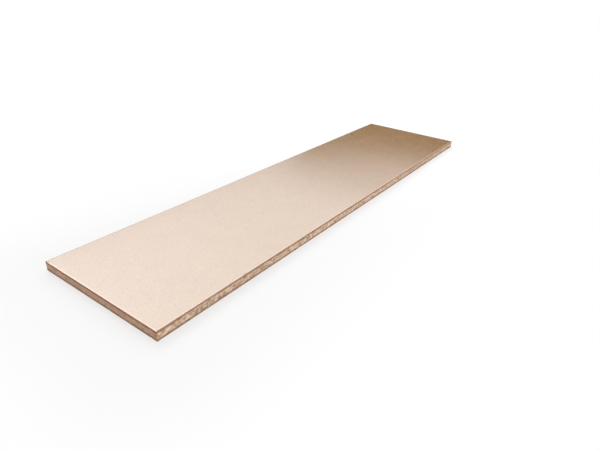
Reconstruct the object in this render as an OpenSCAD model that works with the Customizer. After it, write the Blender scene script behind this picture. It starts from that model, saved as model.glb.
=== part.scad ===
// Mezzanine floor board: a structural chipboard panel, sawn square on all four sides.
// The origin lies under the middle of the board. X runs along the board, Y across it, and Z
// points up through the wear face.

/* [Board] */
// Length of the board
board_l = 2400; // [1200:50:3000]
// Width of the board
board_w = 600; // [300:10:1200]
// Thickness of the board
board_t = 38; // [18:1:50]

/* [Edges] */
// Break along the arrises of the wear face, where feet and sanding wear them
top_arris = 0.5; // [0.2:0.1:2]
// Break along the arrises of the underside
bottom_arris = 0.5; // [0.2:0.1:2]
// Rounding of the four upright corners
corner_r = 1; // [0.2:0.1:4]

/* [Hidden] */
overrun = 50;

// Section across the board, standing on the X axis, with its four arrises broken.
module sawn_section(width)
    polygon([
        [-width / 2 + bottom_arris, 0], [width / 2 - bottom_arris, 0],
        [width / 2, bottom_arris], [width / 2, board_t - top_arris],
        [width / 2 - top_arris, board_t], [-width / 2 + top_arris, board_t],
        [-width / 2, board_t - top_arris], [-width / 2, bottom_arris]
    ]);

// What one pair of parallel saws leaves: a long strip of the pressed panel.
module sawn_strip(width, run)
    rotate([90, 0, 0])
        linear_extrude(height = run + 2 * overrun, center = true)
            sawn_section(width);

// Outline of the board in plan, with its upright corners rounded.
module plan_outline()
    linear_extrude(height = board_t)
        union() {
            square([board_l - 2 * corner_r, board_w], center = true);
            square([board_l, board_w - 2 * corner_r], center = true);
            for (x = [-1, 1], y = [-1, 1])
                translate([x * (board_l / 2 - corner_r), y * (board_w / 2 - corner_r)])
                    circle(r = corner_r, $fn = 48);
        }

// The long edges are sawn in one pass and the ends in the next, so the board is what the
// two passes have in common, inside its outline in plan.
module board()
    color([0.86, 0.76, 0.66])
        intersection() {
            sawn_strip(board_l, board_w);
            rotate([0, 0, 90]) sawn_strip(board_w, board_l);
            plan_outline();
        }

board();
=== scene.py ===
import math

import bmesh
import bpy
from mathutils import Matrix, Vector


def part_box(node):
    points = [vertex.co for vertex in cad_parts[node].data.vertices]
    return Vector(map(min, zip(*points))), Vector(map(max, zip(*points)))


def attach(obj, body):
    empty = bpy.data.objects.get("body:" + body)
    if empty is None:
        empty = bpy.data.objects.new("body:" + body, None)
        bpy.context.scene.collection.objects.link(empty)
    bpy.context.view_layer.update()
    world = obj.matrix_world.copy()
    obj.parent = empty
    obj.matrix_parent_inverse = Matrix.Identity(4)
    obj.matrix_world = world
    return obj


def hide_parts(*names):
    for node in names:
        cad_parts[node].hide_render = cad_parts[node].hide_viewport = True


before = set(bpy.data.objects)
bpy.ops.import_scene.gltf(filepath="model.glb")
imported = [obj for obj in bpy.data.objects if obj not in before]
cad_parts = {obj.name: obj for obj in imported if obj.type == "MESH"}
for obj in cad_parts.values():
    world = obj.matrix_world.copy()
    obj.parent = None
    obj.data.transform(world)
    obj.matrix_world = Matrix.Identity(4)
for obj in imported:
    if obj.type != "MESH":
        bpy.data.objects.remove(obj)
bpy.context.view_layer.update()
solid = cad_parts["board"]
boardLow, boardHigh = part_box("board")
print("frame loaded")


def linear(hexColour):  # sRGB hex to linear red, green, blue and alpha
    channels = [int(hexColour[i:i + 2], 16) / 255 for i in (1, 3, 5)]
    return tuple(c / 12.92 if c <= 0.04045 else ((c + 0.055) / 1.055) ** 2.4 for c in channels) + (1.0,)


def addNode(tree, kind, settings=None, inputs=None):  # an input takes a value, a socket or a node
    node = tree.nodes.new(kind)
    for name, value in (settings or {}).items():
        setattr(node, name, value)
    for name, value in (inputs or {}).items():
        if isinstance(value, bpy.types.Node):
            value = value.outputs[0]
        if isinstance(value, bpy.types.NodeSocket):
            tree.links.new(value, node.inputs[name])
        else:
            node.inputs[name].default_value = value
    return node


def newMaterial(name):
    material = bpy.data.materials.new(name)
    material.use_nodes = True
    material.node_tree.nodes.clear()
    return material, material.node_tree


def rampColours(node, stops):  # position and hex colour of each stop
    ramp = node.color_ramp
    while len(ramp.elements) < len(stops):
        ramp.elements.new(0.5)
    for element, (position, colour) in zip(ramp.elements, stops):
        element.position, element.color = position, linear(colour)
    return node


# the panel's mesh, in metres: its outline is taken from the solid height by height
panel = {
    "along": 0.003,  # between points along the edges
    "around": 0.002,  # at most, between points up the edges
    "least": 0.00035,  # closer outlines are left out
    "rims": (0.0015, 0.0035, 0.007, 0.012),  # strips of each face beside the arris
    "onArris": 0.0002,  # a point this near an arris counts as on it
    "lowerRun": 50.0,  # added along the lower arrises, so that their chips fall elsewhere
    "sharpAngle": 38.0,  # degrees
}


def outlineLevels(node, spec):  # height, then the lowest and highest x and y there
    heights = {}
    for vertex in node.data.vertices:
        heights.setdefault(round(vertex.co.z, 5), []).append(vertex.co)
    outlines = []
    for z, points in sorted(heights.items()):
        xs, ys = [p.x for p in points], [p.y for p in points]
        outlines.append((z, min(xs), max(xs), min(ys), max(ys)))
    levels = [outlines[0]]
    for outline in outlines[1:]:
        last = levels[-1]
        gap = max(abs(a - b) for a, b in zip(outline, last))
        if gap < spec["least"]:
            continue
        pieces = math.ceil(gap / spec["around"])
        for step in range(1, pieces + 1):
            levels.append(tuple(b + (a - b) * step / pieces for a, b in zip(outline, last)))
    return levels


def drawnIn(level, inset):  # the same height, with all four sides moved in
    z, lowX, highX, lowY, highY = level
    return z, lowX + inset, highX - inset, lowY + inset, highY - inset


def panelMesh(node, spec):
    levels = outlineLevels(node, spec)
    bottom, top = levels[0], levels[-1]
    for rim in spec["rims"]:
        levels.insert(0, drawnIn(bottom, rim))
        levels.append(drawnIn(top, rim))
    rims = len(spec["rims"])
    middle = (bottom[0] + top[0]) / 2
    countX = round((top[2] - top[1]) / spec["along"])
    countY = round((top[4] - top[3]) / spec["along"])
    mesh = bpy.data.meshes.new("chipboardPanel")
    bm = bmesh.new()
    sawn = bm.verts.layers.float.new("sawn")  # 1 on the edges, 0 on the faces
    run = bm.verts.layers.float.new("run")  # metres along the nearer arris
    reach = bm.verts.layers.float.new("reach")  # metres from the nearer arris
    corner = bm.verts.layers.float.new("corner")  # metres from the nearer upright corner
    heading = bm.verts.layers.float_vector.new("heading")  # the way that the side runs
    cutFace = bm.faces.layers.int.new("cutFace")
    rings = []
    for number, (z, lowX, highX, lowY, highY) in enumerate(levels):
        onFace = number < rims or number >= len(levels) - rims
        corners = [Vector((x, y, z)) for x, y in (
            (lowX, lowY), (highX, lowY), (highX, highY), (lowX, highY))]
        ring = []
        for side, count in enumerate((countX, countY, countX, countY)):
            start, end = corners[side], corners[(side + 1) % 4]
            for step in range(count):
                vertex = bm.verts.new(start.lerp(end, step / count))
                vertex[sawn] = 0.0 if onFace else 1.0
                vertex[run] = len(ring) * spec["along"] + (0.0 if z > middle else spec["lowerRun"])
                vertex[reach] = abs(lowX - top[1]) if onFace else min(z - bottom[0], top[0] - z)
                vertex[corner] = min(step, count - step) * spec["along"]
                vertex[heading] = (end - start).normalized()
                ring.append(vertex)
        rings.append(ring)
    for lower, upper in zip(rings, rings[1:]):
        for i in range(len(lower)):
            j = (i + 1) % len(lower)
            bm.faces.new((lower[i], lower[j], upper[j], upper[i]))
    bm.faces.new(rings[-1])
    bm.faces.new(list(reversed(rings[0])))
    for face in bm.faces:
        uncut = all(v[sawn] < 0.5 or v[reach] < spec["onArris"] for v in face.verts)
        face[cutFace] = 0 if uncut else 1
        face.smooth = True
    bm.to_mesh(mesh)
    bm.free()
    return mesh


def newObject(name, data):
    obj = bpy.data.objects.new(name, data)
    bpy.context.scene.collection.objects.link(obj)
    return obj


def newGeometryTree(name, sizes):
    tree = bpy.data.node_groups.new(name, "GeometryNodeTree")
    tree.interface.new_socket(name="Geometry", in_out="INPUT", socket_type="NodeSocketGeometry")
    for size, value in sizes.items():
        kind = "NodeSocketInt" if isinstance(value, int) else "NodeSocketFloat"
        tree.interface.new_socket(name=size, in_out="INPUT", socket_type=kind)
    tree.interface.new_socket(name="Geometry", in_out="OUTPUT", socket_type="NodeSocketGeometry")
    return tree


def applyTree(obj, tree, sizes):  # sets the inputs by identifier, then turns the result into a plain mesh
    modifier = obj.modifiers.new(tree.name, "NODES")
    modifier.node_group = tree
    for item in tree.interface.items_tree:
        if item.in_out == "INPUT" and item.name in sizes:
            modifier[item.identifier] = sizes[item.name]
    bpy.context.view_layer.update()
    evaluated = obj.evaluated_get(bpy.context.evaluated_depsgraph_get())
    mesh = bpy.data.meshes.new_from_object(evaluated)
    obj.modifiers.remove(modifier)
    obj.data = mesh


# relief cut into the edges, in metres: torn flakes, open pits and chips broken off the arrises
relief = {
    "clear": 0.0003,  # the whole cut lies this far inside the solid, so that the slivers stay within it
    "flakeLength": 0.011, "flakeThickness": 0.0045,  # coarser than real core flakes, so that they show
    "flakeRelief": 0.00045,
    "surfaceLayer": 0.005,  # fine dense layer under each sanded face
    "layerRelief": 0.25,  # share of the relief that is left where that layer meets the face
    "pitSpacing": 0.014, "pitDepth": 0.0011,
    "pitFloor": 0.15, "pitRim": 0.4,  # from the middle of a pit, as shares of the spacing
    "chipSpacing": 0.11,  # each such length of arris has one chip
    "chipReach": 0.006, "chipDepth": 0.0016,
    "nickShare": 0.3, "nickSize": 0.15,  # share of the chips that are nicks, and their share of a full chip
    "chipSquat": 1.6,  # how much further a chip reaches along the arris than across it
    "largeSquat": 2.2,  # how much further a large one reaches along the board than across and down
    "ragged": 0.004,  # the rim of a chip wanders over this width
    "seed": 7,
}
# larger chips on the top arrises, in metres: two along the front, one beside each corner at the left end;
# each keeps its depth as far as its floor, and rises from there to its reach
largeChips = (
    {"x": -0.815, "y": boardLow.y, "reach": 0.010, "floor": 0.0020, "depth": 0.0026},
    {"x": 0.449, "y": boardLow.y, "reach": 0.012, "floor": 0.0024, "depth": 0.0026},
    {"x": -1.189, "y": boardLow.y, "reach": 0.006, "floor": 0.0012, "depth": 0.0018},
    {"x": boardLow.x, "y": 0.297, "reach": 0.009, "floor": 0.0018, "depth": 0.0026},
)


def reliefTree(sizes, chipped, sandedFinish, sawnFinish):
    tree = newGeometryTree("sawnRelief", sizes)
    entry = addNode(tree, "NodeGroupInput")
    size = {socket.name: socket for socket in entry.outputs if socket.name}
    place = addNode(tree, "GeometryNodeInputPosition")
    normal = addNode(tree, "GeometryNodeInputNormal")
    mask, run, reach = (addNode(tree, "GeometryNodeInputNamedAttribute", {"data_type": "FLOAT"}, {
        "Name": name}) for name in ("sawn", "run", "reach"))
    # flakes lie flat in the board, so the pattern is long in plan and thin in height
    flakeSize = addNode(tree, "ShaderNodeCombineXYZ", None, {
        "X": size["flakeLength"], "Y": size["flakeLength"], "Z": size["flakeThickness"]})
    flakePlace = addNode(tree, "ShaderNodeVectorMath", {"operation": "DIVIDE"}, {0: place, 1: flakeSize})
    flakes = addNode(tree, "ShaderNodeTexNoise", {"noise_dimensions": "4D"}, {
        "Vector": flakePlace, "W": size["seed"], "Scale": 1.0, "Detail": 2.0, "Roughness": 0.6})
    core = addNode(tree, "ShaderNodeMapRange", None, {
        "Value": reach, "From Min": 0.0, "From Max": size["surfaceLayer"],
        "To Min": size["layerRelief"], "To Max": 1.0})
    core = addNode(tree, "ShaderNodeMath", {"operation": "MULTIPLY"}, {0: core, 1: mask})
    flakeCut = addNode(tree, "ShaderNodeMath", {"operation": "MULTIPLY"}, {0: flakes, 1: size["flakeRelief"]})
    flakeCut = addNode(tree, "ShaderNodeMath", {"operation": "MULTIPLY"}, {0: flakeCut, 1: core})
    # open pits between the core flakes
    pitScale = addNode(tree, "ShaderNodeMath", {"operation": "DIVIDE"}, {
        0: size["flakeLength"], 1: size["pitSpacing"]})
    pitPlace = addNode(tree, "ShaderNodeVectorMath", {"operation": "SCALE"}, {
        0: flakePlace, "Scale": pitScale})
    pits = addNode(tree, "ShaderNodeTexVoronoi", {"voronoi_dimensions": "4D"}, {
        "Vector": pitPlace, "W": size["seed"], "Scale": 1.0})
    pitShape = addNode(tree, "ShaderNodeMapRange", {"interpolation_type": "SMOOTHSTEP"}, {
        "Value": pits.outputs["Distance"], "From Min": size["pitFloor"], "From Max": size["pitRim"],
        "To Min": 1.0, "To Max": 0.0})
    pitShape = addNode(tree, "ShaderNodeMath", {"operation": "MULTIPLY"}, {0: pitShape, 1: core})
    pitCut = addNode(tree, "ShaderNodeMath", {"operation": "MULTIPLY"}, {0: pitShape, 1: size["pitDepth"]})
    sawnCut = addNode(tree, "ShaderNodeMath", {"operation": "ADD"}, {0: flakeCut, 1: pitCut})
    sawnCut = addNode(tree, "ShaderNodeMath", {"operation": "MULTIPLY_ADD"}, {
        0: size["clear"], 1: mask, 2: sawnCut})
    # chips: one random spot in each length of arris, each of its own size
    chipRun = addNode(tree, "ShaderNodeMath", {"operation": "DIVIDE"}, {0: run, 1: size["chipSpacing"]})
    chips = addNode(tree, "ShaderNodeTexVoronoi", {"voronoi_dimensions": "1D"}, {"W": chipRun, "Scale": 1.0})
    chance = addNode(tree, "FunctionNodeSeparateColor", None, {"Color": chips.outputs["Color"]})
    chipSize = addNode(tree, "ShaderNodeMapRange", None, {
        "Value": chance, "From Min": size["nickShare"], "From Max": 1.0,
        "To Min": size["nickSize"], "To Max": 1.0})
    chipWide = addNode(tree, "ShaderNodeMath", {"operation": "MULTIPLY"}, {0: chipSize, 1: size["chipReach"]})
    middle = addNode(tree, "ShaderNodeMath", {"operation": "MULTIPLY"}, {0: size["ragged"], 1: -0.5})
    ragged = addNode(tree, "ShaderNodeMath", {"operation": "MULTIPLY_ADD"}, {
        0: flakes, 1: size["ragged"], 2: middle})
    chipOff = addNode(tree, "ShaderNodeMath", {"operation": "MULTIPLY_ADD"}, {
        0: chips.outputs["Distance"], 1: size["chipSpacing"], 2: ragged})
    chipDown = addNode(tree, "ShaderNodeMath", {"operation": "MULTIPLY"}, {0: reach, 1: size["chipSquat"]})
    chipFar = addNode(tree, "ShaderNodeCombineXYZ", None, {"X": chipOff, "Y": chipDown})
    chipFar = addNode(tree, "ShaderNodeVectorMath", {"operation": "LENGTH"}, {0: chipFar})
    chipShape = addNode(tree, "ShaderNodeMapRange", {"interpolation_type": "SMOOTHSTEP"}, {
        "Value": chipFar.outputs["Value"], "From Min": 0.0, "From Max": chipWide,
        "To Min": 1.0, "To Max": 0.0})
    chipCut = addNode(tree, "ShaderNodeMath", {"operation": "MULTIPLY"}, {0: chipShape, 1: size["chipDepth"]})
    chipCut = addNode(tree, "ShaderNodeMath", {"operation": "MULTIPLY"}, {0: chipCut, 1: chipSize})
    squat = addNode(tree, "ShaderNodeCombineXYZ", None, {
        "X": 1.0, "Y": size["largeSquat"], "Z": size["largeSquat"]})
    for chip in chipped:
        away = addNode(tree, "ShaderNodeVectorMath", {"operation": "SUBTRACT"}, {
            0: place, 1: (chip["x"], chip["y"], boardHigh.z)})
        away = addNode(tree, "ShaderNodeVectorMath", {"operation": "MULTIPLY"}, {0: away, 1: squat})
        away = addNode(tree, "ShaderNodeVectorMath", {"operation": "LENGTH"}, {0: away})
        away = addNode(tree, "ShaderNodeMath", {"operation": "ADD"}, {0: away.outputs["Value"], 1: ragged})
        large = addNode(tree, "ShaderNodeMapRange", {"interpolation_type": "SMOOTHSTEP"}, {
            "Value": away, "From Min": chip["floor"], "From Max": chip["reach"],
            "To Min": 1.0, "To Max": 0.0})
        largeCut = addNode(tree, "ShaderNodeMath", {"operation": "MULTIPLY"}, {0: large, 1: chip["depth"]})
        chipShape = addNode(tree, "ShaderNodeMath", {"operation": "MAXIMUM"}, {0: chipShape, 1: large})
        chipCut = addNode(tree, "ShaderNodeMath", {"operation": "MAXIMUM"}, {0: chipCut, 1: largeCut})
    cut = addNode(tree, "ShaderNodeMath", {"operation": "ADD"}, {0: sawnCut, 1: chipCut})
    cut = addNode(tree, "ShaderNodeMath", {"operation": "MULTIPLY"}, {0: cut, 1: -1.0})
    offset = addNode(tree, "ShaderNodeVectorMath", {"operation": "SCALE"}, {0: normal, "Scale": cut})
    moved = addNode(tree, "GeometryNodeSetPosition", None, {
        "Geometry": entry.outputs["Geometry"], "Offset": offset})
    torn = addNode(tree, "ShaderNodeMath", {"operation": "MAXIMUM"}, {0: chipShape, 1: pitShape})
    torn = addNode(tree, "GeometryNodeStoreNamedAttribute", {"data_type": "FLOAT"}, {
        "Geometry": moved, "Name": "torn", "Value": torn})
    real = addNode(tree, "GeometryNodeRealizeInstances", None, {"Geometry": torn})
    finished = addNode(tree, "GeometryNodeSetMaterial", None, {"Geometry": real, "Material": sandedFinish})
    sawnFaces = addNode(tree, "GeometryNodeInputNamedAttribute", {"data_type": "INT"}, {"Name": "cutFace"})
    finished = addNode(tree, "GeometryNodeSetMaterial", None, {
        "Geometry": finished, "Selection": sawnFaces, "Material": sawnFinish})
    addNode(tree, "NodeGroupOutput", None, {"Geometry": finished})
    return tree


# slivers of flake that the saw left lying along the edge, a hair above the rest of the cut, in metres
slivers = {
    "density": 21000.0,  # to the square metre
    "shortest": 0.005, "longest": 0.015, "thinnest": 0.0009, "thickest": 0.0024,
    "sides": 6, "proud": 0.00012, "depth": 0.0007,
    "tilt": 0.28,  # radians, either way
    "arrisClear": 0.007, "cornerClear": 0.01,  # none lies this near an arris or an upright corner
    "tornMost": 0.3,  # nor where the cut is torn more than this, from 0 to 1
    "seed": 11,
}


def sliverTree(sizes, finish):
    tree = newGeometryTree("sawnSlivers", sizes)
    entry = addNode(tree, "NodeGroupInput")
    size = {socket.name: socket for socket in entry.outputs if socket.name}
    sawn, reach, torn, corner = (addNode(tree, "GeometryNodeInputNamedAttribute", {"data_type": "FLOAT"}, {
        "Name": name}) for name in ("sawn", "reach", "torn", "corner"))
    heading = addNode(tree, "GeometryNodeInputNamedAttribute", {"data_type": "FLOAT_VECTOR"}, {
        "Name": "heading"})
    inCore = addNode(tree, "ShaderNodeMath", {"operation": "GREATER_THAN"}, {
        0: reach, 1: size["arrisClear"]})
    sound = addNode(tree, "ShaderNodeMath", {"operation": "LESS_THAN"}, {0: torn, 1: size["tornMost"]})
    where = addNode(tree, "ShaderNodeMath", {"operation": "MULTIPLY"}, {0: inCore, 1: sound})
    onSide = addNode(tree, "ShaderNodeMath", {"operation": "GREATER_THAN"}, {
        0: corner, 1: size["cornerClear"]})
    onSide = addNode(tree, "ShaderNodeMath", {"operation": "MULTIPLY"}, {0: onSide, 1: sawn})
    where = addNode(tree, "ShaderNodeMath", {"operation": "MULTIPLY"}, {0: where, 1: onSide})
    spots = addNode(tree, "GeometryNodeDistributePointsOnFaces", {"distribute_method": "RANDOM"}, {
        "Mesh": entry.outputs["Geometry"], "Selection": where, "Density": size["density"],
        "Seed": size["seed"]})
    # each sliver draws its own lean, length, thickness and tone
    leanest = addNode(tree, "ShaderNodeMath", {"operation": "MULTIPLY"}, {0: size["tilt"], 1: -1.0})
    drawn = []
    for shift, (least, most) in enumerate(((leanest, size["tilt"]), (size["shortest"], size["longest"]),
                                           (size["thinnest"], size["thickest"]), (0.0, 1.0))):
        seed = addNode(tree, "ShaderNodeMath", {"operation": "ADD"}, {0: size["seed"], 1: shift})
        drawn.append(addNode(tree, "FunctionNodeRandomValue", {"data_type": "FLOAT"}, {
            2: least, 3: most, "Seed": seed}).outputs[1])
    lean, length, thickness, tone = drawn
    turn = addNode(tree, "FunctionNodeAlignRotationToVector", {"axis": "Z"}, {
        "Vector": spots.outputs["Normal"]})
    turn = addNode(tree, "FunctionNodeAlignRotationToVector", {"axis": "X", "pivot_axis": "Z"}, {
        "Rotation": turn, "Vector": heading})
    lean = addNode(tree, "ShaderNodeCombineXYZ", None, {"Z": lean})
    turn = addNode(tree, "FunctionNodeRotateRotation", {"rotation_space": "LOCAL"}, {
        "Rotation": turn, "Rotate By": lean})
    scale = addNode(tree, "ShaderNodeCombineXYZ", None, {"X": length, "Y": thickness, "Z": size["depth"]})
    blank = addNode(tree, "GeometryNodeMeshCylinder", {"fill_type": "NGON"}, {
        "Vertices": size["sides"], "Radius": 0.5, "Depth": 1.0})
    # the top of the blank sits at the origin, so that the scale only deepens it
    blank = addNode(tree, "GeometryNodeTransform", None, {"Geometry": blank, "Translation": (0.0, 0.0, -0.5)})
    laid = addNode(tree, "GeometryNodeInstanceOnPoints", None, {
        "Points": spots, "Instance": blank, "Rotation": turn, "Scale": scale})
    lift = addNode(tree, "ShaderNodeCombineXYZ", None, {"Z": size["proud"]})
    laid = addNode(tree, "GeometryNodeTranslateInstances", None, {"Instances": laid, "Translation": lift})
    toned = addNode(tree, "GeometryNodeStoreNamedAttribute", {"data_type": "FLOAT", "domain": "INSTANCE"}, {
        "Geometry": laid, "Name": "tone", "Value": tone})
    real = addNode(tree, "GeometryNodeRealizeInstances", None, {"Geometry": toned})
    finished = addNode(tree, "GeometryNodeSetMaterial", None, {"Geometry": real, "Material": finish})
    addNode(tree, "NodeGroupOutput", None, {"Geometry": finished})
    return tree


# the sanded faces, sizes in metres
sandedLook = {
    "fleck": 0.0032,  # coarser than the real fines, so that it shows
    "cloud": 0.09, "cloudShare": 0.45,  # broad patches, and their share of the tone
    "tones": ((0.15, "#9A7449"), (0.5, "#A27C51"), (0.85, "#AA8458")),
    "speck": "#76573C", "speckFrom": 0.972, "speckFull": 0.985, "speckShare": 0.5,  # by the cell's draw
    # the paler arris line: a painted highlight on the front edge and the left end, partly wear
    "wearAndHighlight": "#C39A7C", "wearAndHighlightFull": 0.003, "wearAndHighlightEnd": 0.009, "wearAndHighlightShare": 0.8,  # from the arris
    "smoothest": 0.14, "roughest": 0.17, "coatRoughness": 0.155, "ior": 1.57,
}


def sandedChipboard(look):  # fine surface layer, resin sealed and sanded: a satin gloss over faint flecks
    material, tree = newMaterial("sandedChipboard")
    place = addNode(tree, "ShaderNodeTexCoord")
    cells = addNode(tree, "ShaderNodeTexVoronoi", None, {
        "Vector": place.outputs["Object"], "Scale": 1 / look["fleck"]})
    cellTone = addNode(tree, "ShaderNodeSeparateColor", None, {"Color": cells.outputs["Color"]})
    clouds = addNode(tree, "ShaderNodeTexNoise", None, {
        "Vector": place.outputs["Object"], "Scale": 1 / look["cloud"], "Detail": 3.0, "Roughness": 0.55})
    tone = addNode(tree, "ShaderNodeMix", {"data_type": "FLOAT"}, {
        0: look["cloudShare"], 2: cellTone.outputs[0], 3: clouds.outputs[0]})
    colour = rampColours(addNode(tree, "ShaderNodeValToRGB", None, {"Fac": tone.outputs[0]}), look["tones"])
    # a chip of darker bark or a resin fleck here and there, about one cell in forty
    speck = addNode(tree, "ShaderNodeMapRange", None, {
        "Value": cellTone.outputs[1], "From Min": look["speckFrom"], "From Max": look["speckFull"],
        "To Min": 0.0, "To Max": look["speckShare"]})
    colour = addNode(tree, "ShaderNodeMix", {"data_type": "RGBA"}, {
        0: speck, 6: colour, 7: linear(look["speck"])})
    # a paler line along the arrises of the front edge and the left end: a painted highlight, partly standing
    # for wear from handling
    heading = addNode(tree, "ShaderNodeAttribute", {"attribute_name": "heading"})
    paintedHighlightSides = addNode(tree, "ShaderNodeVectorMath", {"operation": "DOT_PRODUCT"}, {
        0: heading.outputs["Vector"], 1: (1.0, -1.0, 0.0)})
    paintedHighlightSides = addNode(tree, "ShaderNodeMapRange", None, {
        "Value": paintedHighlightSides.outputs["Value"], "From Min": -1.0, "From Max": 1.0,
        "To Min": 0.0, "To Max": look["wearAndHighlightShare"]})
    reach = addNode(tree, "ShaderNodeAttribute", {"attribute_name": "reach"})
    wearAndHighlight = addNode(tree, "ShaderNodeMapRange", None, {
        "Value": reach.outputs["Fac"], "From Min": look["wearAndHighlightFull"], "From Max": look["wearAndHighlightEnd"],
        "To Min": paintedHighlightSides, "To Max": 0.0})
    colour = addNode(tree, "ShaderNodeMix", {"data_type": "RGBA"}, {
        0: wearAndHighlight, 6: colour.outputs[2], 7: linear(look["wearAndHighlight"])})
    rough = addNode(tree, "ShaderNodeMapRange", None, {
        "Value": clouds.outputs[0], "From Min": 0.3, "From Max": 0.7,
        "To Min": look["smoothest"], "To Max": look["roughest"]})
    shader = addNode(tree, "ShaderNodeBsdfPrincipled", None, {
        "Base Color": colour.outputs[2], "Roughness": rough, "IOR": look["ior"],
        "Coat Weight": 1.0, "Coat Roughness": look["coatRoughness"], "Coat IOR": look["ior"]})
    addNode(tree, "ShaderNodeOutputMaterial", None, {"Surface": shader})
    return material


# what the cut edge and its slivers share: flake colours from dark to pale, and the tint of the ends, redder
# and also darker as painted shade
sawnWood = {"colours": ("#93745A", "#B99A82", "#D1B59D", "#E6CDB6"), "endTintAndShade": "#EDE1DA"}

# the cut edge, sizes in metres
sawnLook = {
    "flake": (0.009, 0.009, 0.0024),  # flat flakes, long in plan, a little coarser than real ones
    "bend": 0.35, "fineShare": 0.3,  # how much they bend, and the share of the grain in the tone
    "clump": 0.013, "clumpShare": 0.55,  # clumps of like flakes, and their share of the tone
    "sideContrast": 1.4, "endContrast": 0.6,
    "tones": (0.28, 0.42, 0.56, 0.72),  # where the wood's four colours stand
    "dense": "#85664C", "denseFull": 0.005, "denseEnd": 0.012, "denseShare": 0.8,  # from the arris
    # the colour inside pits and chips: partly painted shade, partly torn core
    "tornAndShadedHollow": "#6B4E38", "tornAndShadedHollowShare": 0.6,
    "bump": 0.0006, "bumpStrength": 0.5, "roughness": 0.85, "ior": 1.45,
}

# the slivers, sizes in metres
flakeLook = {
    "grain": 0.0015, "grainShare": 0.3,  # the early and late wood of one ring, and its share of the tone
    "sideContrast": 1.0, "endContrast": 0.45,
    "tones": (0.1, 0.35, 0.6, 0.9),  # where the same four colours stand
    "roughness": 0.8, "ior": 1.45,
}


def sawnTones(tree, tone, look):  # gives the tone, its colour, and 1 on the ends and 0 on the long edges
    # the ends are cut across more of the flakes: their open pores look redder, and the flakes less distinct;
    # the end tint that the materials add is redder and also darker, as painted shade
    heading = addNode(tree, "ShaderNodeAttribute", {"attribute_name": "heading"})
    turned = addNode(tree, "ShaderNodeVectorMath", {"operation": "ABSOLUTE"}, {0: heading.outputs["Vector"]})
    onEnd = addNode(tree, "ShaderNodeSeparateXYZ", None, {"Vector": turned}).outputs["Y"]
    contrast = addNode(tree, "ShaderNodeMapRange", None, {
        "Value": onEnd, "To Min": look["sideContrast"], "To Max": look["endContrast"]})
    tone = addNode(tree, "ShaderNodeMath", {"operation": "SUBTRACT"}, {0: tone, 1: 0.5})
    tone = addNode(tree, "ShaderNodeMath", {"operation": "MULTIPLY_ADD"}, {0: tone, 1: contrast, 2: 0.5})
    stops = list(zip(look["tones"], sawnWood["colours"]))
    return tone, rampColours(addNode(tree, "ShaderNodeValToRGB", None, {"Fac": tone}), stops), onEnd


def sawnChipboard(look):  # cut edges: flakes of many tones lying flat, dark gaps between them, no gloss
    material, tree = newMaterial("sawnChipboard")
    place = addNode(tree, "ShaderNodeTexCoord")
    stretched = addNode(tree, "ShaderNodeMapping", {"vector_type": "POINT"}, {
        "Vector": place.outputs["Object"], "Scale": [1 / size for size in look["flake"]]})
    bent = addNode(tree, "ShaderNodeTexNoise", None, {"Vector": stretched, "Scale": 0.7, "Detail": 1.0})
    bent = addNode(tree, "ShaderNodeMix", {"data_type": "VECTOR"}, {
        0: look["bend"], 4: stretched, 5: bent.outputs["Color"]})
    flakes = addNode(tree, "ShaderNodeTexVoronoi", None, {"Vector": bent.outputs[1], "Scale": 1.0})
    flakeTone = addNode(tree, "ShaderNodeSeparateColor", None, {"Color": flakes.outputs["Color"]})
    fine = addNode(tree, "ShaderNodeTexNoise", None, {"Vector": stretched, "Scale": 3.0, "Detail": 3.0})
    tone = addNode(tree, "ShaderNodeMix", {"data_type": "FLOAT"}, {
        0: look["fineShare"], 2: flakeTone.outputs[0], 3: fine.outputs[0]})
    clumps = addNode(tree, "ShaderNodeTexNoise", None, {
        "Vector": place.outputs["Object"], "Scale": 1 / look["clump"], "Detail": 1.0, "Roughness": 0.4})
    tone = addNode(tree, "ShaderNodeMix", {"data_type": "FLOAT"}, {
        0: look["clumpShare"], 2: tone.outputs[0], 3: clumps.outputs[0]})
    tone, colour, onEnd = sawnTones(tree, tone, look)
    # the surface layers are fine dust and resin, darker and browner than the core
    reach = addNode(tree, "ShaderNodeAttribute", {"attribute_name": "reach"})
    dense = addNode(tree, "ShaderNodeMapRange", {"interpolation_type": "SMOOTHSTEP"}, {
        "Value": reach.outputs["Fac"], "From Min": look["denseFull"], "From Max": look["denseEnd"],
        "To Min": look["denseShare"], "To Max": 0.0})
    colour = addNode(tree, "ShaderNodeMix", {"data_type": "RGBA"}, {
        0: dense, 6: colour, 7: linear(look["dense"])})
    # pits and chips are darker inside: partly painted shade in the hollows, partly the torn core's own colour
    torn = addNode(tree, "ShaderNodeAttribute", {"attribute_name": "torn"})
    tornAndShadedHollow = addNode(tree, "ShaderNodeMath", {"operation": "MULTIPLY"}, {
        0: torn.outputs["Fac"], 1: look["tornAndShadedHollowShare"]})
    colour = addNode(tree, "ShaderNodeMix", {"data_type": "RGBA"}, {
        0: tornAndShadedHollow, 6: colour.outputs[2], 7: linear(look["tornAndShadedHollow"])})
    # the ends tinted redder, and darker as painted shade
    colour = addNode(tree, "ShaderNodeMix", {"data_type": "RGBA", "blend_type": "MULTIPLY"}, {
        0: onEnd, 6: colour.outputs[2], 7: linear(sawnWood["endTintAndShade"])})
    bump = addNode(tree, "ShaderNodeBump", None, {
        "Strength": look["bumpStrength"], "Distance": look["bump"], "Height": tone})
    shader = addNode(tree, "ShaderNodeBsdfPrincipled", None, {
        "Base Color": colour.outputs[2], "Roughness": look["roughness"], "IOR": look["ior"], "Normal": bump})
    addNode(tree, "ShaderNodeOutputMaterial", None, {"Surface": shader})
    return material


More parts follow.
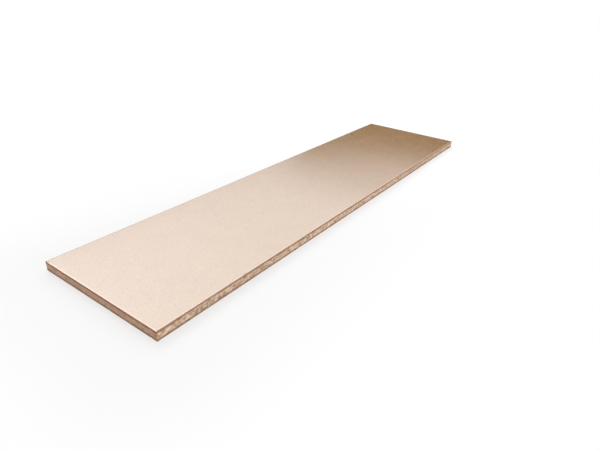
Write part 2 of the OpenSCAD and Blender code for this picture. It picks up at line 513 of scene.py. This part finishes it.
def sawnFlake(look):  # single slivers of softwood in the cut edge, each its own tone, dry and matt
    material, tree = newMaterial("sawnFlake")
    place = addNode(tree, "ShaderNodeTexCoord")
    drawn = addNode(tree, "ShaderNodeAttribute", {"attribute_name": "tone"})
    grain = addNode(tree, "ShaderNodeTexNoise", None, {
        "Vector": place.outputs["Object"], "Scale": 1 / look["grain"], "Detail": 2.0})
    tone = addNode(tree, "ShaderNodeMix", {"data_type": "FLOAT"}, {
        0: look["grainShare"], 2: drawn.outputs["Fac"], 3: grain.outputs[0]})
    tone, colour, onEnd = sawnTones(tree, tone, look)
    # the ends tinted redder, and darker as painted shade
    colour = addNode(tree, "ShaderNodeMix", {"data_type": "RGBA", "blend_type": "MULTIPLY"}, {
        0: onEnd, 6: colour, 7: linear(sawnWood["endTintAndShade"])})
    shader = addNode(tree, "ShaderNodeBsdfPrincipled", None, {
        "Base Color": colour.outputs[2], "Roughness": look["roughness"], "IOR": look["ior"]})
    addNode(tree, "ShaderNodeOutputMaterial", None, {"Surface": shader})
    return material


sanded, sawn, flake = sandedChipboard(sandedLook), sawnChipboard(sawnLook), sawnFlake(flakeLook)
print("materials made")

board = newObject("chipboardPanel", panelMesh(solid, panel))
applyTree(board, reliefTree(relief, largeChips, sanded, sawn), relief)
board.data.set_sharp_from_angle(angle=math.radians(panel["sharpAngle"]))
edgeFlakes = newObject("sawnSlivers", board.data.copy())
applyTree(edgeFlakes, sliverTree(slivers, flake), slivers)
sliverCount = len(edgeFlakes.data.vertices) // (2 * slivers["sides"])
print("panel", len(board.data.vertices), "points, slivers", sliverCount)
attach(board, "root")
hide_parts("board")
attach(edgeFlakes, "root")

camera = {
    "yaw": 55.126, "pitch": 27.965, "roll": 2.527,  # degrees, yaw from +Y towards +X
    "place": (-1.8410, -1.2405, 0.9723),  # metres
    "lens": 28.506, "sensor": 36.0,  # millimetres
    "shift": (-0.0010, 0.0012),
}


def addCamera(spec):
    yaw, pitch, roll = (math.radians(spec[name]) for name in ("yaw", "pitch", "roll"))
    ahead = Vector((math.sin(yaw) * math.cos(pitch), math.cos(yaw) * math.cos(pitch), -math.sin(pitch)))
    level = Vector((math.cos(yaw), -math.sin(yaw), 0))
    rise = level.cross(ahead)
    right = math.cos(roll) * level + math.sin(roll) * rise
    up = math.cos(roll) * rise - math.sin(roll) * level
    data = bpy.data.cameras.new("camera")
    data.lens, data.sensor_width = spec["lens"], spec["sensor"]
    data.shift_x, data.shift_y = spec["shift"]
    viewer = newObject("camera", data)
    turn = Matrix((right, up, -ahead)).transposed().to_4x4()
    viewer.matrix_world = Matrix.Translation(spec["place"]) @ turn
    bpy.context.scene.camera = viewer


addCamera(camera)

# a wide soft panel that the sanded face mirrors, given by the stretch of board that it is seen in
glarePanel = {
    "height": 5.0,  # metres, and so are the places along and across the board
    "along": (-1.7, -1.15, -0.55, -0.1, 0.15, 0.4, 0.7), "across": (-0.6, 0.42),
    # at each place along, first on the near side and then on the far side; 1 is white
    "radiance": ((6.0, 4.6, 2.9, 2.4, 1.2, 1.85, 0.6), (5.4, 2.75, 2.0, 1.4, 1.05, 0.0, 0.0)),
    "cell": 6,  # steps from one place to the next, so that the light changes smoothly
}
# soft boxes, in metres, that light the front edge, the far end of the face and the left end
sideBoxes = {
    "sideWindow": {"place": (-0.5, -3.0, 0.8), "aim": (-0.5, 0, 0), "size": (3.6, 1.1), "radiance": 3.0},
    "farFill": {"place": (1.45, 0.1, 1.4), "aim": (1.45, 0.1, 0), "size": (1.2, 1.0), "radiance": 2.4},
    "endWindow": {"place": (-3.6, 0.3, 0.7), "aim": (-0.5, 0, 0), "size": (1.6, 1.0), "radiance": 1.7},
}
# black cloth beyond that panel, sizes in metres, so that the far end mirrors nothing pale
flag = {"beyond": 0.15, "y": (-2.0, 16.0), "z": (0.1, 5.2), "colour": "#141414"}


def addLamp(name, spec):
    light = bpy.data.lights.new(name, "AREA")
    light.shape, light.size, light.size_y = "RECTANGLE", *spec["size"]
    light.energy = spec["radiance"] * math.pi * spec["size"][0] * spec["size"][1]  # watts
    lamp = newObject(name, light)
    lamp.location = spec["place"]
    lamp.rotation_euler = (Vector(spec["aim"]) - Vector(spec["place"])).to_track_quat("-Z", "Y").to_euler()
    lamp.visible_camera = lamp.visible_glossy = False  # so that the sealed face does not mirror a hard box


def mirrored(x, y, height):  # the spot at that height which the camera sees mirrored at x, y of the face
    stand = Vector(camera["place"])
    share = (height - boardHigh.z) / (stand.z - boardHigh.z)
    return x + (x - stand.x) * share, y + (y - stand.y) * share, height


def addSheet(name, points, faces, material):  # a stage piece that only lights or shades
    mesh = bpy.data.meshes.new(name)
    mesh.from_pydata(points, [], faces)
    mesh.materials.append(material)
    sheet = newObject(name, mesh)
    sheet.visible_camera = False
    return sheet


def addGlarePanel(spec):
    cloth, tree = newMaterial("litDiffuserCloth")
    level = addNode(tree, "ShaderNodeAttribute", {"attribute_name": "radiance"})
    glow = addNode(tree, "ShaderNodeEmission", None, {"Strength": level.outputs["Fac"]})
    addNode(tree, "ShaderNodeOutputMaterial", None, {"Surface": glow})
    along, (nearY, farY), cell = spec["along"], spec["across"], spec["cell"]
    count = (len(along) - 1) * cell + 1
    points, levels = [], []
    for row in range(cell + 1):
        share = row / cell
        for i in range(count):
            left = min(i // cell, len(along) - 2)
            step = i / cell - left
            near, far = ((1 - step) * line[left] + step * line[left + 1] for line in spec["radiance"])
            x = (1 - step) * along[left] + step * along[left + 1]
            points.append(mirrored(x, nearY + share * (farY - nearY), spec["height"]))
            levels.append((1 - share) * near + share * far)
    faces = [(i, i + count, i + count + 1, i + 1) for i in range(cell * count) if (i + 1) % count]
    sheet = addSheet("glarePanel", points, faces, cloth)
    sheet.data.attributes.new("radiance", "FLOAT", "POINT").data.foreach_set("value", levels)


def addFlag(spec, glare):
    cloth, tree = newMaterial("blackFlagCloth")
    matt = addNode(tree, "ShaderNodeBsdfDiffuse", None, {"Color": linear(spec["colour"])})
    addNode(tree, "ShaderNodeOutputMaterial", None, {"Surface": matt})
    x = mirrored(glare["along"][-1], 0, glare["height"])[0] + spec["beyond"]
    addSheet("shadeFlag", [(x, y, z) for y in spec["y"] for z in spec["z"]], [(0, 1, 3, 2)], cloth)


addGlarePanel(glarePanel)
addFlag(flag, glarePanel)
for name, box in sideBoxes.items():
    addLamp(name, box)

studio = {
    "floorHalf": 100.0, "floorColour": "#EDEDED", "ambient": 0.6,
    "white": 0.65,  # share of plain white in the floor as it is seen, which lightens the board's shadow
    "fadeStart": 0.1, "fadeEnd": 0.5,  # metres from the board's sides, where the floor turns plain white
}


def whiteToView(tree):  # 1 for rays that look at the background, straight, mirrored or through glass
    path = addNode(tree, "ShaderNodeLightPath")
    seen = addNode(tree, "ShaderNodeMath", {"operation": "MAXIMUM"}, {
        0: path.outputs["Is Camera Ray"], 1: path.outputs["Is Glossy Ray"]})
    return addNode(tree, "ShaderNodeMath", {"operation": "MAXIMUM"}, {
        0: seen, 1: path.outputs["Is Transmission Ray"]})


def addFloor(spec):
    half = spec["floorHalf"]
    mesh = bpy.data.meshes.new("floor")
    corners = [(-half, -half, 0), (half, -half, 0), (half, half, 0), (-half, half, 0)]
    mesh.from_pydata(corners, [], [(0, 1, 2, 3)])
    floor = newObject("floor", mesh)
    material, tree = newMaterial("paleFloor")
    place = addNode(tree, "ShaderNodeTexCoord")
    beside = addNode(tree, "ShaderNodeVectorMath", {"operation": "ABSOLUTE"}, {0: place.outputs["Object"]})
    beside = addNode(tree, "ShaderNodeVectorMath", {"operation": "SUBTRACT"}, {
        0: beside, 1: (boardHigh.x, boardHigh.y, 0.0)})
    beside = addNode(tree, "ShaderNodeVectorMath", {"operation": "MAXIMUM"}, {0: beside, 1: (0.0, 0.0, 0.0)})
    distance = addNode(tree, "ShaderNodeVectorMath", {"operation": "LENGTH"}, {0: beside})
    fade = addNode(tree, "ShaderNodeMapRange", {"interpolation_type": "SMOOTHSTEP"}, {
        "Value": distance.outputs["Value"], "From Min": spec["fadeStart"], "From Max": spec["fadeEnd"],
        "To Min": spec["white"], "To Max": 1.0})
    glow = addNode(tree, "ShaderNodeMath", {"operation": "MULTIPLY"}, {0: whiteToView(tree), 1: fade})
    matt = addNode(tree, "ShaderNodeBsdfDiffuse", None, {"Color": linear(spec["floorColour"])})
    white = addNode(tree, "ShaderNodeEmission", None, {"Strength": 1.0})
    surface = addNode(tree, "ShaderNodeMixShader", None, {0: glow, 1: matt, 2: white})
    addNode(tree, "ShaderNodeOutputMaterial", None, {"Surface": surface})
    mesh.materials.append(material)


def addWorld(spec):
    world = bpy.data.worlds.new("paleStudio")
    world.use_nodes = True
    tree = world.node_tree
    tree.nodes.clear()
    ambient, white = (addNode(tree, "ShaderNodeBackground", None, {
        "Color": (1, 1, 1, 1), "Strength": strength}) for strength in (spec["ambient"], 1.0))
    surface = addNode(tree, "ShaderNodeMixShader", None, {0: whiteToView(tree), 1: ambient, 2: white})
    addNode(tree, "ShaderNodeOutputWorld", None, {"Surface": surface})
    bpy.context.scene.world = world


addFloor(studio)
addWorld(studio)
bpy.context.scene.view_settings.view_transform = "Standard"
print("studio set")
